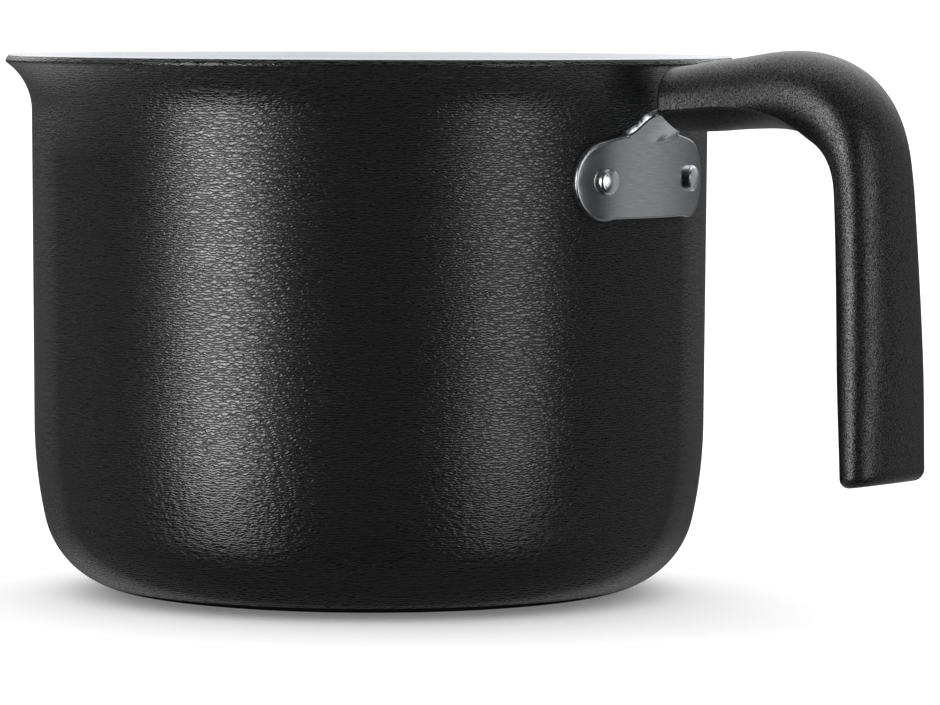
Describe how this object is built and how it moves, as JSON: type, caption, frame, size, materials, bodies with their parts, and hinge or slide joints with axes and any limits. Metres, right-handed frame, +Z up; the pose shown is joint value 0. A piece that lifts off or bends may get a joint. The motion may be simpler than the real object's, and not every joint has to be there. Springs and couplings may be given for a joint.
{
  "type": "milk pot",
  "caption": "Round black-coated milk pot with a flared pouring rim, a riveted sheet bracket and an L-shaped moulded grip.",
  "frame": {"origin": "centre of the pot's flat resting face", "axes": "+Z up along the pot's axis, +X out along the handle"},
  "size_m": [0.2138, 0.1566, 0.1172],
  "materials": {
    "coated_shell": "drawn aluminium under a black wrinkled non-stick coat, satin; pale ceramic coat inside; the black coat wraps the cut edge of the rim",
    "bracket_steel": "stamped sheet, fine brushed, bright cut edges",
    "rivet_aluminium": "bright formed heads",
    "grip_phenolic": "moulded phenolic resin with a fine spark-eroded grain",
    "screw_steel": "zinc-plated",
    "insert_brass": "turned brass"
  },
  "bodies": {
    "root": {"pot_shell": "coated_shell", "handle_bracket": "bracket_steel", "rivet_left": "rivet_aluminium", "rivet_right": "rivet_aluminium", "handle_grip": "grip_phenolic", "grip_screw": "screw_steel", "grip_insert": "insert_brass"}
  },
  "joints": []
}
